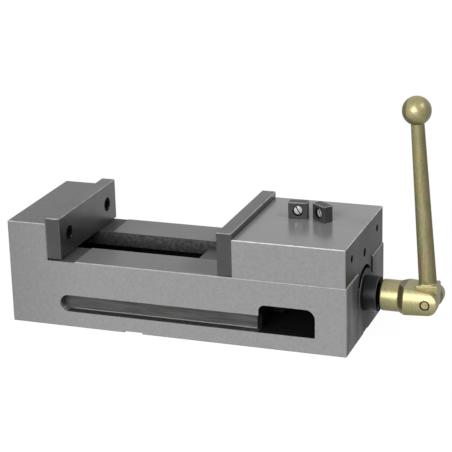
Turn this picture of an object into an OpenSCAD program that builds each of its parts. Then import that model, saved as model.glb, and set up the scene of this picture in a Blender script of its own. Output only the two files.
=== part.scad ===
// Precision milling vise with a lock-down jaw, a ball thrust bearing and a folding crank handle.
// Millimetres. The origin is the middle of the body's bottom face, +X points to the handle, +Z up.
// The jaw stands fully open. The nut pulls it along -X and, through the half-ball, down on the rails.

/* [Body] */
// Length of the cast body
body_l = 400; // [385:1:440]
// Width of the body and of the jaws
body_w = 160; // [150:1:180]
// Height of the rails above the base
bed_h = 79.5; // [78:0.5:84]
// Thickness of the floor under the cavity
floor_t = 18.5; // [17:0.5:20]
// Width of the slot between the rails
slot_w = 60; // [58:0.5:62]
// Width of the cavity below the rails
cavity_w = 90; // [84:1:98]
// Thickness of the rails above the undercut
rail_t = 17; // [16:0.5:18]
// Thickness of the end wall that carries the screw
end_wall_t = 28; // [24:1:32]
// Thickness of the wall at the fixed jaw's end
far_wall_t = 12; // [8:1:16]
// Roof clearance of the cavity above the nut, under the fixed jaw
roof_gap = 3.5; // [2:0.5:4]
// Length of the sunk strip of the rails ahead of the fixed plate
relief_l = 33.5; // [20:0.5:50]
// Depth of the sunk strip
relief_d = 1; // [0.5:0.1:1.5]
// Width of the broken edges
edge_c = 0.9; // [0.5:0.1:1.2]

/* [Jaws] */
// Height of the fixed jaw above the rails
jaw_rise = 42.5; // [39:0.5:50]
// How much higher the movable jaw is than the fixed one
jaw_step = 1.2; // [0:0.1:2]
// Length of the fixed jaw
fixed_jaw_l = 48; // [44:1:54]
// Length of the movable jaw
jaw_l = 128.7; // [125:0.1:134]
// Distance of the movable jaw's back from the body's end face, fully open
jaw_inset = 1.3; // [0:0.1:3]
// Thickness of the jaw plates
plate_t = 17; // [14:0.5:20]
// Gap between the plates and the rails
plate_lift = 1; // [0.5:0.1:1.5]
// How far the plates stand above the jaws
plate_rise = 7; // [4:0.5:9]
// Distance between a plate's two screws
screw_pitch = 108; // [90:1:120]
// Height of the plate screws above the rails
screw_rise = 25.5; // [22:0.5:28]
// Depth of the tapped holes behind the plates and in the jaws' backs
tap_depth = 26; // [18:1:30]
// Length of the jaw's tongue between the rails, from its back
tongue_l = 85; // [60:1:85]
// Depth of the tongue below the rails' tops
tongue_d = 19; // [18:0.5:20]
// Radius of the arch in the tongue over the end wall
arch_r = 32.2; // [31:0.1:32.8]

/* [Side grooves and windows] */
// Height of the clamping groove in each side
groove_h = 20; // [14:0.5:22]
// Depth of the groove
groove_d = 12; // [8:0.5:14]
// Radius between the groove's floor and its lower face
groove_fillet = 1.5; // [1:0.1:2]
// Length of the groove up to the window
groove_l = 239; // [200:0.1:255]
// Length of the window in each side
window_l = 64.5; // [50:0.5:68]
// Height of the window
window_h = 32.5; // [26:0.1:34]
// Distance from the window to the body's end face
window_inset = 35.5; // [33:0.5:50]
// Radius of the window's upper corner by the groove
window_near_r = 7; // [4:0.5:10]
// Radius of the window's upper corner by the end wall
window_far_r = 11; // [8:0.5:14]

/* [Keyways] */
// Depth of the keyways, which are as wide as a key is long
keyway_d = 2; // [1.5:0.5:4]
// Distance of the cross keyway from the middle, towards the fixed jaw
cross_keyway_x = 50; // [40:1:70]
// Length of the keyway at each end
end_keyway_l = 90; // [60:1:110]
// Distance between the key screw holes of the cross keyway
cross_key_pitch = 100; // [80:1:120]
// Distance between the key screw holes of the end keyways
end_key_pitch = 320; // [300:1:360]
// Depth of the key screw holes
key_hole_d = 11; // [8:1:12]

/* [Screw] */
// Height of the screw's axis above the cavity's floor
axis_lift = 28; // [27:0.25:28.5]
// Outer radius of the thread
thread_r = 14; // [12:0.5:14.5]
// Length of the threaded part
thread_l = 329; // [300:1:332]
// Radius of the journal through the end wall
journal_r = 12.5; // [11.5:0.1:12.8]
// Radius of the screw's thrust flange
flange_r = 22; // [20:0.5:23]
// Thickness of the thrust flange
flange_t = 12; // [8:1:13]
// Across flats of the hexagon that takes the handle
hex_af = 19; // [17:0.5:21]
// Length of the hexagon
hex_l = 29; // [24:1:30]
// Outer radius of the bearing rings
race_r = 24; // [23:0.5:25]
// Thickness of each bearing ring
race_t = 3; // [2.5:0.25:3.5]
// Radius of the bearing balls
bearing_ball_r = 3; // [2.5:0.25:3.25]
// Number of bearing balls
bearing_balls = 14; // [10:1:16]
// Wall of the bronze bush
bush_t = 4; // [3:0.5:5]
// Radius of the round end boss
boss_r = 28; // [27:0.25:28.75]
// How far the boss stands out of the end face
boss_proud = 0.5; // [0.5:0.1:1.5]
// Radius of the collar
collar_r = 20; // [18:0.5:22]
// Thickness of the collar
collar_t = 12; // [10:0.5:12.5]

/* [Nut] */
// Length of the nut under the jaw and ahead of it
nut_l = 107.7; // [90:0.1:108]
// Depth of the nut's top below the rails
nut_drop = 7; // [5.5:0.5:8]
// Clearance under the nut
nut_lift = 5.5; // [3:0.5:7]
// Length of the nut's lug on top
lug_l = 18; // [17:0.5:20]
// Width of the lug
lug_w = 44; // [36:1:46]
// Height of the lug's top above the rails
lug_rise = 26.5; // [25.5:0.5:27.5]
// Slope of the lug's face that pulls the jaw down
lug_lean = 20; // [15:1:22]
// Radius of the half-ball
half_ball_r = 12; // [10:0.5:12.5]
// Height of the half-ball's centre above the rails
half_ball_rise = 12.5; // [12:0.5:13.5]
// Height of the set screw behind the lug above the rails
set_screw_rise = 14.5; // [12.5:0.5:15]
// Length of the set screw
set_screw_l = 78; // [40:1:80]

/* [Handle] */
// Distance from the body's end face to the hub
hub_x = 19.8; // [19:0.1:22]
// Length of the hub's round part
hub_l = 20.4; // [18:0.1:22]
// Radius of the hub's round part
hub_r = 17.75; // [16:0.25:18.5]
// Length of the flare between the round part and the fork
flare_l = 7.2; // [5:0.1:9]
// Radius of the fork
fork_r = 22.5; // [21:0.25:23]
// Half height of the fork at its neck
fork_half_h = 16.5; // [15.5:0.1:17]
// Distance from the hub's back to the pivot pin
pin_x = 52; // [50:0.1:53]
// Radius of the pivot pin
pin_r = 4.5; // [4:0.25:5.5]
// Radius of the fork's nose round the pin
nose_r = 13.6; // [12.5:0.1:14.5]
// Width of the slot in the fork
fork_slot = 20.8; // [19:0.1:22]
// Length of the lever's head
head_l = 24; // [22:0.5:24.5]
// Height of the lever's head above the pin
head_h = 18.7; // [17:0.1:20]
// Angle that the upright lever leans towards the vise
lever_lean = 4.4; // [2:0.1:5]
// Radius of the lever's shank at the head
shank_r = 10; // [8.5:0.1:10.2]
// Radius of the shank under the ball
neck_r = 7.4; // [6:0.1:8]
// Distance from the pin to the ball's centre
ball_h = 213.7; // [190:0.1:230]
// Radius of the ball
ball_r = 16; // [15:0.1:18]

/* [Loose locating keys] */
// Length of a key
key_l = 22; // [20:0.5:23]
// Thickness of a key
key_t = 12; // [11:0.5:13]
// Width of a key
key_w = 19; // [17:0.5:20]
// Radius of the screw's counterbore in a key
key_bore_r = 6; // [5.5:0.1:6.5]
// Distance of the first key behind the movable jaw's face
key_a_x = 48.1; // [40:0.1:49]
// Distance of the first key from the middle
key_a_y = 14.6; // [8:0.1:30]
// Turn of the first key on the jaw
key_a_turn = 7.5; // [0:0.1:15]
// Distance of the second key behind the movable jaw's face
key_b_x = 77; // [76:0.1:90]
// Distance of the second key from the middle
key_b_y = 11.4; // [5:0.1:25]
// Turn of the second key on the jaw
key_b_turn = -37.7; // [-45:0.1:-20]

/* [Screws] */
// Radius of the plate screws' shank
cap_r = 5; // [4:0.5:5]
// Radius of the plate screws' head
cap_head_r = 8; // [7.5:0.25:8.25]
// Height of the plate screws' head
cap_head_h = 10; // [8:0.5:10.5]
// Across flats of the plate screws' socket
cap_socket = 8; // [6:0.5:9]
// Radius of the key screws' shank
key_screw_r = 3; // [2.5:0.25:3.25]
// Radius of the key screws' head
key_screw_head_r = 5; // [4.5:0.1:5.2]
// Height of the key screws' head
key_screw_head_h = 4; // [3:0.25:4.5]

/* [Fits] */
// Radial clearance of shafts that turn
run_gap = 0.05; // [0.02:0.01:0.1]
// Side clearance of parts that slide
slide_gap = 0.3; // [0.2:0.05:0.4]
// Radial clearance round screws and in their counterbores
free_gap = 0.5; // [0.3:0.05:0.6]
// Radial clearance between a screw and its tapped hole
tap_gap = 0.05; // [0.02:0.01:0.1]

/* [Hidden] */

$fn = 96;

// Overrun of every cut past the face that it opens through
over = 2;
// Share of a screw's radius that its tapped hole leaves as core
core_share = 0.85;
// Share of a socket's width that it is deep
socket_share = 0.6;

half_l = body_l / 2;
half_w = body_w / 2;

// Heights above the base
axis_z = floor_t + axis_lift;
jaw_h = bed_h + jaw_rise;
moving_h = jaw_h + jaw_step;
screw_z = bed_h + screw_rise;
nut_top = bed_h - nut_drop;
lug_top = bed_h + lug_rise;
half_ball_z = bed_h + half_ball_rise;
set_screw_z = bed_h + set_screw_rise;

// Places along the vise
fixed_face_x = -half_l + fixed_jaw_l;
fixed_plate_x = fixed_face_x + plate_t;
jaw_back_x = half_l - jaw_inset;
jaw_face_x = jaw_back_x - jaw_l;
plate_face_x = jaw_face_x - plate_t;
wall_x = half_l - end_wall_t;
boss_x = half_l + boss_proud;
window_x = half_l - window_inset - window_l;
plate_z = bed_h + plate_lift;

// The nut ends just ahead of the jaw's tongue
tongue_x = jaw_back_x - tongue_l;
nut_back_x = tongue_x - free_gap;
nut_front_x = nut_back_x - nut_l;
nut_w = slot_w - 2 * slide_gap;
nut_bottom = floor_t + nut_lift;
lug_face_x = nut_back_x - lug_l;

// The bearing stack, from the end wall inwards
race_outer_x = wall_x - race_t;
cage_x = race_outer_x - 2 * bearing_ball_r;
race_inner_x = cage_x - race_t;
flange_x = race_inner_x - flange_t;
race_bore_r = journal_r + free_gap;
ball_ring_r = (race_bore_r + race_r) / 2;

// The screw's outer end
collar_x = boss_x + slide_gap;
hub_back_x = half_l + hub_x;
hex_x = collar_x + collar_t;
hex_end_x = hex_x + hex_l;
collar_screw_r = journal_r / 5;

// The fork
fork_x = hub_back_x + hub_l;
pivot_x = hub_back_x + pin_x;
shoulder_x = fork_x + flare_l;
head_half = head_l / 2;
slot_depth = head_half / cos(lever_lean) + fork_r * tan(lever_lean) + slide_gap;
slot_floor_x = pivot_x - slot_depth;
head_t = fork_slot - 2 * slide_gap;

// The lever and its ball
ball_seat = ball_h - sqrt(ball_r * ball_r - neck_r * neck_r);
stud_r = neck_r * core_share;

// The keys
key_a = [jaw_face_x + key_a_x, key_a_y, key_a_turn];
key_b = [jaw_face_x + key_b_x, key_b_y, key_b_turn];
key_bore_d = key_t / 2;

cast_grey = [0.60, 0.60, 0.60];
ground_grey = [0.55, 0.56, 0.57];
plate_grey = [0.36, 0.36, 0.36];
black_steel = [0.13, 0.13, 0.13];
bright_steel = [0.75, 0.75, 0.75];
bronze = [0.70, 0.52, 0.28];
yellow_zinc = [0.68, 0.64, 0.43];

// Rectangle with its four corners broken
module cut_rect(w, h, c) {
  polygon([
    [c, 0], [w - c, 0], [w, c], [w, h - c],
    [w - c, h], [c, h], [0, h - c], [0, c]
  ]);
}

// Block between two corners with all its edges broken
module block(low, high, c) {
  size = high - low;
  translate(low) intersection() {
    linear_extrude(size.z) cut_rect(size.x, size.y, c);
    translate([0, size.y, 0]) rotate([90, 0, 0]) linear_extrude(size.y) cut_rect(size.x, size.z, c);
    rotate([90, 0, 90]) linear_extrude(size.x) cut_rect(size.y, size.z, c);
  }
}

// Plain box between two corners
module box(low, high) {
  translate(low) cube(high - low);
}

// Outline in Y and Z, drawn out along X
module along_x(x, l) {
  translate([x, 0, 0]) rotate([90, 0, 90]) linear_extrude(l) children();
}

// Outline in X and Z, drawn out along Y and centred on the vise
module across(w) {
  translate([0, w / 2, 0]) rotate([90, 0, 0]) linear_extrude(w) children();
}

// Round bar along +X
module bar(x, l, r) {
  translate([x, 0, 0]) rotate([0, 90, 0]) cylinder(h = l, r = r);
}

// Round bar along the screw's axis
module shaft(x, l, r) {
  translate([0, 0, axis_z]) bar(x, l, r);
}

// Shape turned about the screw's axis, from points of distance along it and radius
module turned(points) {
  translate([0, 0, axis_z]) rotate([0, 90, 0]) rotate_extrude()
    polygon([for (p = points) [p[1], p[0]]]);
}

// Hexagon of a given width across flats, along +X
module hex_bar(x, l, af) {
  translate([x, 0, 0]) rotate([0, 90, 0]) cylinder(h = l, r = af / sqrt(3), $fn = 6);
}

// Both places of the plate screws, at a given face
module at_plate_screws(x) {
  for (side = [-1, 1]) translate([x, side * screw_pitch / 2, screw_z]) children();
}

// Slot between the rails from a given foot
module slot_outline(foot) {
  translate([-slot_w / 2, foot]) square([slot_w, bed_h + over - foot]);
}

// Window outline, with its upper corners round
module window_outline() {
  square([window_l, window_h - window_far_r]);
  square([window_near_r, window_h - window_near_r]);
  translate([window_near_r, 0]) square([window_l - window_near_r - window_far_r, window_h]);
  translate([window_near_r, window_h - window_near_r]) circle(window_near_r);
  translate([window_l - window_far_r, window_h - window_far_r]) circle(window_far_r);
}

// Outline of the clamping groove, round at the foot of its floor
module groove_outline() {
  y = half_w - groove_d;
  difference() {
    translate([y, floor_t]) square([groove_d + over, groove_h]);
    difference() {
      translate([y, floor_t]) square(groove_fillet);
      translate([y + groove_fillet, floor_t + groove_fillet]) circle(groove_fillet);
    }
  }
}

// Clamping groove in one side and its half-round end
module side_groove(side) {
  r = groove_h / 2;
  end_x = window_x - groove_l + r;
  scale([1, side, 1]) {
    along_x(end_x, window_x + over - end_x) groove_outline();
    translate([end_x, half_w + over, floor_t + r]) rotate([90, 0, 0])
      cylinder(h = groove_d + over, r = r);
  }
}

module keyways() {
  half = key_l / 2 + run_gap;
  box(
    [-cross_keyway_x - half, -half_w - over, -over],
    [-cross_keyway_x + half, half_w + over, keyway_d]
  );
  for (side = [-1, 1]) scale([side, 1, 1])
    box([half_l - end_keyway_l, -half, -over], [half_l + over, half, keyway_d]);
}

// Tapped holes for the locating keys' screws
module key_holes() {
  spots = [
    [-cross_keyway_x, -cross_key_pitch / 2], [-cross_keyway_x, cross_key_pitch / 2],
    [-end_key_pitch / 2, 0], [end_key_pitch / 2, 0]
  ];
  for (spot = spots) translate([spot.x, spot.y, -over])
    cylinder(h = over + keyway_d + key_hole_d, r = key_screw_r * core_share);
}

module body_cuts() {
  cavity_x = -half_l + far_wall_t;
  cavity_top = bed_h - rail_t;
  notch_z = bed_h - tongue_d - plate_lift;
  // Cavity below the rails and its roof under the fixed jaw
  box([cavity_x, -cavity_w / 2, floor_t], [wall_x, cavity_w / 2, cavity_top]);
  box(
    [cavity_x, -slot_w / 2, cavity_top - over],
    [fixed_face_x + over, slot_w / 2, nut_top + roof_gap]
  );
  // Slot between the rails, up to the end wall
  along_x(fixed_face_x, wall_x - fixed_face_x) slot_outline(cavity_top - over);
  // Notch over the end wall, round the boss
  difference() {
    along_x(wall_x - over, end_wall_t + 2 * over) slot_outline(notch_z);
    shaft(wall_x - over, end_wall_t + 3 * over, boss_r);
  }
  box(
    [fixed_face_x, -half_w - over, bed_h - relief_d],
    [fixed_face_x + relief_l, half_w + over, bed_h + over]
  );
  translate([window_x, 0, floor_t]) across(body_w + 2 * over) window_outline();
  side_groove(1);
  side_groove(-1);
  shaft(wall_x - over, end_wall_t + boss_proud + 2 * over, journal_r + run_gap + bush_t);
  at_plate_screws(fixed_face_x - tap_depth) bar(0, tap_depth + over, cap_r * core_share);
  at_plate_screws(-half_l - over)
    bar(0, (fixed_jaw_l - tap_depth) * core_share + over, cap_r * core_share);
  keyways();
  key_holes();
}

module vise_body() {
  color(cast_grey) difference() {
    union() {
      block([-half_l, -half_w, 0], [half_l, half_w, bed_h], edge_c);
      block([-half_l, -half_w, 0], [fixed_face_x, half_w, jaw_h], edge_c);
      shaft(wall_x, end_wall_t + boss_proud, boss_r);
    }
    body_cuts();
  }
}

// Jaw plate whose face looks along +X from a given place, on a jaw of a given height
module jaw_plate(face_x, high) {
  bore_r = cap_head_r + free_gap;
  bore_d = cap_head_h + free_gap;
  color(plate_grey) difference() {
    block([face_x - plate_t, -half_w, plate_z], [face_x, half_w, high + plate_rise], edge_c);
    at_plate_screws(face_x - plate_t - over) bar(0, plate_t + 2 * over, cap_r + free_gap);
    at_plate_screws(face_x - bore_d) bar(0, bore_d + over, bore_r);
  }
}

// Socket head cap screw along X, its head's face at zero and its shank towards -X
module cap_screw() {
  socket_d = cap_socket * socket_share;
  grip = plate_t - cap_head_h - free_gap;
  thread = tap_depth * core_share;
  core_r = cap_r * core_share - tap_gap;
  difference() {
    union() {
      bar(-cap_head_h, cap_head_h, cap_head_r);
      bar(-cap_head_h - grip, grip, cap_r);
      bar(-cap_head_h - grip - thread, thread, core_r);
    }
    hex_bar(-socket_d, socket_d + over, cap_socket);
  }
}

module fixed_jaw_plate() {
  jaw_plate(fixed_plate_x, jaw_h);
}

module fixed_plate_screws() {
  color(black_steel) at_plate_screws(fixed_plate_x - free_gap) cap_screw();
}

module movable_jaw_plate() {
  translate([2 * plate_face_x + plate_t, 0, 0]) mirror([1, 0, 0])
    jaw_plate(plate_face_x + plate_t, moving_h);
}

module movable_plate_screws() {
  color(black_steel) at_plate_screws(plate_face_x + free_gap) mirror([1, 0, 0]) cap_screw();
}

// Face of the nut's lug, from its foot to its top, moved forward by a gap
function lug_face(z, gap) = lug_face_x - (z - half_ball_z) * tan(lug_lean) - gap;

// Side outline of the lug, grown by a gap
module lug_outline(foot, gap) {
  top = lug_top + gap;
  polygon([
    [lug_face(foot, gap), foot], [nut_back_x + gap, foot],
    [nut_back_x + gap, top], [lug_face(top, gap), top]
  ]);
}

module jaw_nut() {
  color(black_steel) difference() {
    union() {
      block(
        [nut_front_x, -nut_w / 2, nut_bottom],
        [nut_back_x, nut_w / 2, nut_top], edge_c
      );
      across(lug_w) lug_outline(nut_top - edge_c - rail_t / 2, 0);
    }
    shaft(nut_front_x - over, nut_l + 2 * over, thread_r + run_gap);
  }
}

// Half-ball: its flat lies on the lug's face, its round side in the jaw's socket
module half_ball() {
  color(bright_steel) translate([lug_face_x, 0, half_ball_z]) rotate([0, -90 - lug_lean, 0])
    rotate_extrude() intersection() {
      circle(half_ball_r);
      square(half_ball_r + over);
    }
}

module jaw_cuts() {
  pocket_w = lug_w + 2 * free_gap;
  set_r = cap_r + tap_gap;
  // Pocket for the lug and socket for the half-ball
  across(pocket_w) lug_outline(bed_h - over, free_gap);
  translate([lug_face_x, 0, half_ball_z]) sphere(half_ball_r + run_gap);
  // Arch over the end wall
  shaft(tongue_x - over, tongue_l + 2 * over, arch_r);
  translate([0, 0, set_screw_z]) bar(nut_back_x, jaw_back_x - nut_back_x + over, set_r);
  at_plate_screws(jaw_face_x - over) bar(0, tap_depth + over, cap_r * core_share);
  at_plate_screws(jaw_back_x - tap_depth) bar(0, tap_depth + over, cap_r * core_share);
}

module movable_jaw() {
  tongue_w = slot_w - 2 * slide_gap;
  color(ground_grey) difference() {
    union() {
      block([jaw_face_x, -half_w, bed_h], [jaw_back_x, half_w, moving_h], edge_c);
      box([tongue_x, -tongue_w / 2, bed_h - tongue_d], [jaw_back_x, tongue_w / 2, bed_h + edge_c]);
    }
    jaw_cuts();
  }
}

module jaw_set_screw() {
  x = nut_back_x;
  socket_d = cap_r * socket_share * 2;
  color(black_steel) translate([0, 0, set_screw_z]) difference() {
    bar(x, set_screw_l, cap_r);
    hex_bar(x + set_screw_l - socket_d, socket_d + over, cap_r);
  }
}

// A key stands on the jaw with its screw hole level, at [x, y, turn]
module at_key(place) {
  translate([place.x, place.y, moving_h]) rotate([0, 0, place.z]) children();
}

module locating_key() {
  color(black_steel) difference() {
    block([-key_l / 2, -key_t / 2, 0], [key_l / 2, key_t / 2, key_w], edge_c);
    translate([0, key_t / 2 + over, key_w / 2]) rotate([90, 0, 0])
      cylinder(h = key_t + 2 * over, r = key_screw_r + free_gap);
    translate([0, key_bore_d - key_t / 2, key_w / 2]) rotate([90, 0, 0])
      cylinder(h = key_bore_d + over, r = key_bore_r);
  }
}

module locating_key_a() {
  at_key(key_a) locating_key();
}

module locating_key_b() {
  at_key(key_b) locating_key();
}

// Slotted cheese head screw, its head seated in the key's counterbore
module key_screw() {
  slot = key_screw_head_h / 3;
  seat_y = key_bore_d - key_t / 2;
  translate([0, seat_y, key_w / 2]) rotate([90, 0, 0]) difference() {
    union() {
      cylinder(h = key_screw_head_h, r = key_screw_head_r);
      translate([0, 0, -key_t]) cylinder(h = key_t, r = key_screw_r);
    }
    rotate([0, 0, -60]) translate([-key_screw_head_r - over, -slot / 2, key_screw_head_h - slot])
      cube([2 * key_screw_head_r + 2 * over, slot, slot + over]);
  }
}

module key_screws() {
  color(bright_steel) {
    at_key(key_a) key_screw();
    at_key(key_b) key_screw();
  }
}

// Foot of the collar's set screw, which points up at the screw's axis
module at_collar_screw() {
  translate([collar_x + collar_t / 2, 0, axis_z - journal_r + edge_c]) rotate([180, 0, 0]) children();
}

module lead_screw() {
  thread_x = flange_x - thread_l;
  color(black_steel) difference() {
    union() {
      turned([
        [thread_x, 0], [thread_x, thread_r - over], [thread_x + over, thread_r],
        [flange_x, thread_r], [flange_x, flange_r], [race_inner_x, flange_r],
        [race_inner_x, journal_r], [hex_x, journal_r], [hex_x, 0]
      ]);
      translate([0, 0, axis_z]) hex_bar(hex_x, hex_l, hex_af);
    }
    // Seat of the collar's set screw
    at_collar_screw() cylinder(h = over, r = collar_screw_r + tap_gap);
  }
}

// Flat bearing ring along the screw
module race(x) {
  color(bright_steel) turned([
    [x, race_bore_r], [x, race_r - edge_c], [x + edge_c, race_r], [x + race_t - edge_c, race_r],
    [x + race_t, race_r - edge_c], [x + race_t, race_bore_r]
  ]);
}

module thrust_race_outer() {
  race(race_outer_x);
}

module thrust_race_inner() {
  race(race_inner_x);
}

// Places of the bearing balls
module at_balls() {
  for (i = [0 : bearing_balls - 1]) translate([cage_x + bearing_ball_r, 0, axis_z])
    rotate([i * 360 / bearing_balls, 0, 0]) translate([0, 0, ball_ring_r]) children();
}

module thrust_balls() {
  color(bright_steel) at_balls() sphere(bearing_ball_r - run_gap);
}

module ball_cage() {
  wall = (race_r - race_bore_r) / 2 - edge_c;
  x = cage_x + bearing_ball_r - race_t / 2;
  color(bronze) difference() {
    turned([
      [x, ball_ring_r - wall], [x, ball_ring_r + wall],
      [x + race_t, ball_ring_r + wall], [x + race_t, ball_ring_r - wall]
    ]);
    at_balls() bar(-bearing_ball_r, 2 * bearing_ball_r, bearing_ball_r + run_gap);
  }
}

module screw_bush() {
  color(bronze) difference() {
    shaft(wall_x, end_wall_t + boss_proud, journal_r + run_gap + bush_t);
    shaft(wall_x - over, end_wall_t + boss_proud + 2 * over, journal_r + run_gap);
  }
}

module screw_collar() {
  recess = collar_t / 6;
  lip = collar_r - 2 * edge_c;
  color(black_steel) difference() {
    turned([
      [collar_x, journal_r], [collar_x, collar_r - edge_c], [collar_x + edge_c, collar_r],
      [hex_x - 2 * edge_c, collar_r], [hex_x, lip], [hex_x, lip - recess],
      [hex_x - recess, lip - 2 * recess], [hex_x - recess, journal_r]
    ]);
    at_collar_screw() cylinder(h = collar_r, r = collar_screw_r + tap_gap);
  }
}

module collar_set_screw() {
  socket = collar_screw_r;
  length = collar_r - journal_r;
  color(black_steel) at_collar_screw() difference() {
    cylinder(h = length, r = collar_screw_r);
    translate([0, 0, length - socket]) cylinder(h = socket + over, r = socket / sqrt(3), $fn = 6);
  }
}

// Side outline of the hub and the fork: flat from the neck, tapered to the round nose
module fork_side() {
  translate([0, axis_z]) {
    polygon([
      [hub_back_x - over, -fork_r - over], [fork_x, -fork_r - over],
      [fork_x, -fork_half_h], [pivot_x, -nose_r],
      [pivot_x, nose_r], [fork_x, fork_half_h],
      [fork_x, fork_r + over], [hub_back_x - over, fork_r + over]
    ]);
    translate([pivot_x, 0]) circle(nose_r);
  }
}

module handle_hub() {
  nose_x = pivot_x + nose_r + over;
  socket_l = hex_end_x - hub_back_x + free_gap;
  color(yellow_zinc) difference() {
    intersection() {
      turned([
        [hub_back_x, 0], [hub_back_x, hub_r - edge_c], [hub_back_x + edge_c, hub_r],
        [fork_x, hub_r], [shoulder_x, fork_r], [nose_x, fork_r], [nose_x, 0]
      ]);
      across(4 * fork_r) fork_side();
    }
    // Hexagon socket
    translate([0, 0, axis_z]) hex_bar(hub_back_x - over, socket_l + over, hex_af + 2 * run_gap);
    // Slot for the lever's head
    box(
      [slot_floor_x, -fork_slot / 2, axis_z - 2 * fork_r],
      [nose_x + over, fork_slot / 2, axis_z + 2 * fork_r]
    );
    translate([pivot_x, 2 * fork_r, axis_z]) rotate([90, 0, 0]) cylinder(h = 4 * fork_r, r = pin_r);
  }
}

module pivot_pin() {
  half = fork_r - edge_c / 2;
  color(yellow_zinc) translate([pivot_x, half, axis_z]) rotate([90, 0, 0])
    rotate_extrude() polygon([
      [0, 0], [pin_r - edge_c / 2, 0], [pin_r, edge_c / 2], [pin_r, 2 * half - edge_c / 2],
      [pin_r - edge_c / 2, 2 * half], [0, 2 * half]
    ]);
}

// The lever stands on its pin and leans towards the vise
module at_lever() {
  translate([pivot_x, 0, axis_z]) rotate([0, -lever_lean, 0]) children();
}

module handle_lever() {
  fillet = head_half - shank_r;
  steps = 6;
  color(yellow_zinc) at_lever() difference() {
    union() {
      // Head: flat sided, round below the pin
      across(head_t) {
        circle(head_half);
        translate([-head_half, 0]) square([head_l, head_h]);
      }
      // Tapered shank, and the stud in the ball
      rotate_extrude() polygon([
        [0, head_h - over], [shank_r, head_h - over], [shank_r, head_h],
        [neck_r, ball_seat], [stud_r, ball_seat], [stud_r, ball_h], [0, ball_h]
      ]);
      // Fillet at the shank's foot, as thick as the head
      intersection() {
        rotate_extrude() polygon([
          [0, head_h - over], [head_half, head_h - over],
          for (i = [0 : steps]) [
            head_half - fillet * sin(90 * i / steps),
            head_h + 2 * fillet * (1 - cos(90 * i / steps))
          ],
          [0, head_h + 2 * fillet]
        ]);
        across(head_t) square([2 * head_l, 4 * head_h], center = true);
      }
    }
    translate([0, 2 * fork_r, 0]) rotate([90, 0, 0]) cylinder(h = 4 * fork_r, r = pin_r + run_gap);
  }
}

module lever_ball() {
  color(yellow_zinc) at_lever() difference() {
    translate([0, 0, ball_h]) sphere(ball_r);
    translate([0, 0, ball_seat - ball_r]) cylinder(h = ball_r, r = ball_r);
    translate([0, 0, ball_seat - over]) cylinder(h = ball_h - ball_seat + over + run_gap, r = stud_r);
  }
}

vise_body();
fixed_jaw_plate();
fixed_plate_screws();
screw_bush();
thrust_race_outer();
movable_jaw();
movable_jaw_plate();
movable_plate_screws();
jaw_nut();
half_ball();
jaw_set_screw();
locating_key_a();
locating_key_b();
key_screws();
lead_screw();
thrust_race_inner();
thrust_balls();
ball_cage();
screw_collar();
collar_set_screw();
handle_hub();
pivot_pin();
handle_lever();
lever_ball();
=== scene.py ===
"""Looks of a lock-down milling vise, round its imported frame. Metres, +Z up, +X to the handle."""

import logging
import math
from contextlib import contextmanager
from dataclasses import dataclass
from enum import Enum
from typing import Callable, Iterator, Sequence

import bmesh
import bpy
from mathutils import Matrix, Vector


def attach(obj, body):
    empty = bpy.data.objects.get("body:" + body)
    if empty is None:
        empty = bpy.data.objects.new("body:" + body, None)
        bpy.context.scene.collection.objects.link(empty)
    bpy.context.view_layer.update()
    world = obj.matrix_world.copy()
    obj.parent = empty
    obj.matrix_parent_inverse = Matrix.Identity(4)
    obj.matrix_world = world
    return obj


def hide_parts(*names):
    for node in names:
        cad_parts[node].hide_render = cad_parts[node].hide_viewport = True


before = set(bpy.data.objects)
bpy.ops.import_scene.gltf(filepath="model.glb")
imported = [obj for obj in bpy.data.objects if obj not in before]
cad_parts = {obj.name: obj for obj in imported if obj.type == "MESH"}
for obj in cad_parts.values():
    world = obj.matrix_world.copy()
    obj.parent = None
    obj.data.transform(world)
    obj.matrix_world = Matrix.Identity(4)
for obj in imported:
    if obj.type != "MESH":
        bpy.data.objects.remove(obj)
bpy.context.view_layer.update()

LOG = logging.getLogger("vise")
MM = 0.001
# Height of the lead screw's axis and place of the lever's pivot on it, in millimetres.
SCREW_Z = 46.5
PIVOT_X = 271.8
# How far a cutting tool reaches past the piece that it cuts, in millimetres.
REACH = 40.0
# Sides of the small rounds and of the large ones.
SMALL = 64
LARGE = 96
Piece = bpy.types.Object
Face = bmesh.types.BMFace
Socket = bpy.types.NodeSocket
Material = bpy.types.Material
Colour = tuple[float, float, float]
Span = tuple[float, float]
Profile = Sequence[Span]


def grey(level: float, blue: float = 0.0) -> Colour:
    """A grey of one level, with a little blue added."""
    return (level, level, level + blue)


def spun(degrees: float, axis: str) -> Matrix:
    """A turn about one of the axes."""
    return Matrix.Rotation(math.radians(degrees), 4, axis)


class Axis(Enum):
    """Directions that a turned piece can stand along."""

    X = spun(90, "Y")
    BACK_X = spun(-90, "Y")
    Y = spun(-90, "X")
    BACK_Y = spun(90, "X")
    BACK_Z = spun(180, "X")


class Body(Enum):
    """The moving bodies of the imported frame."""

    BASE = "base"
    JAW = "jaw"
    SCREW = "screw"
    HANDLE = "handle"
    LEVER = "lever"


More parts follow.
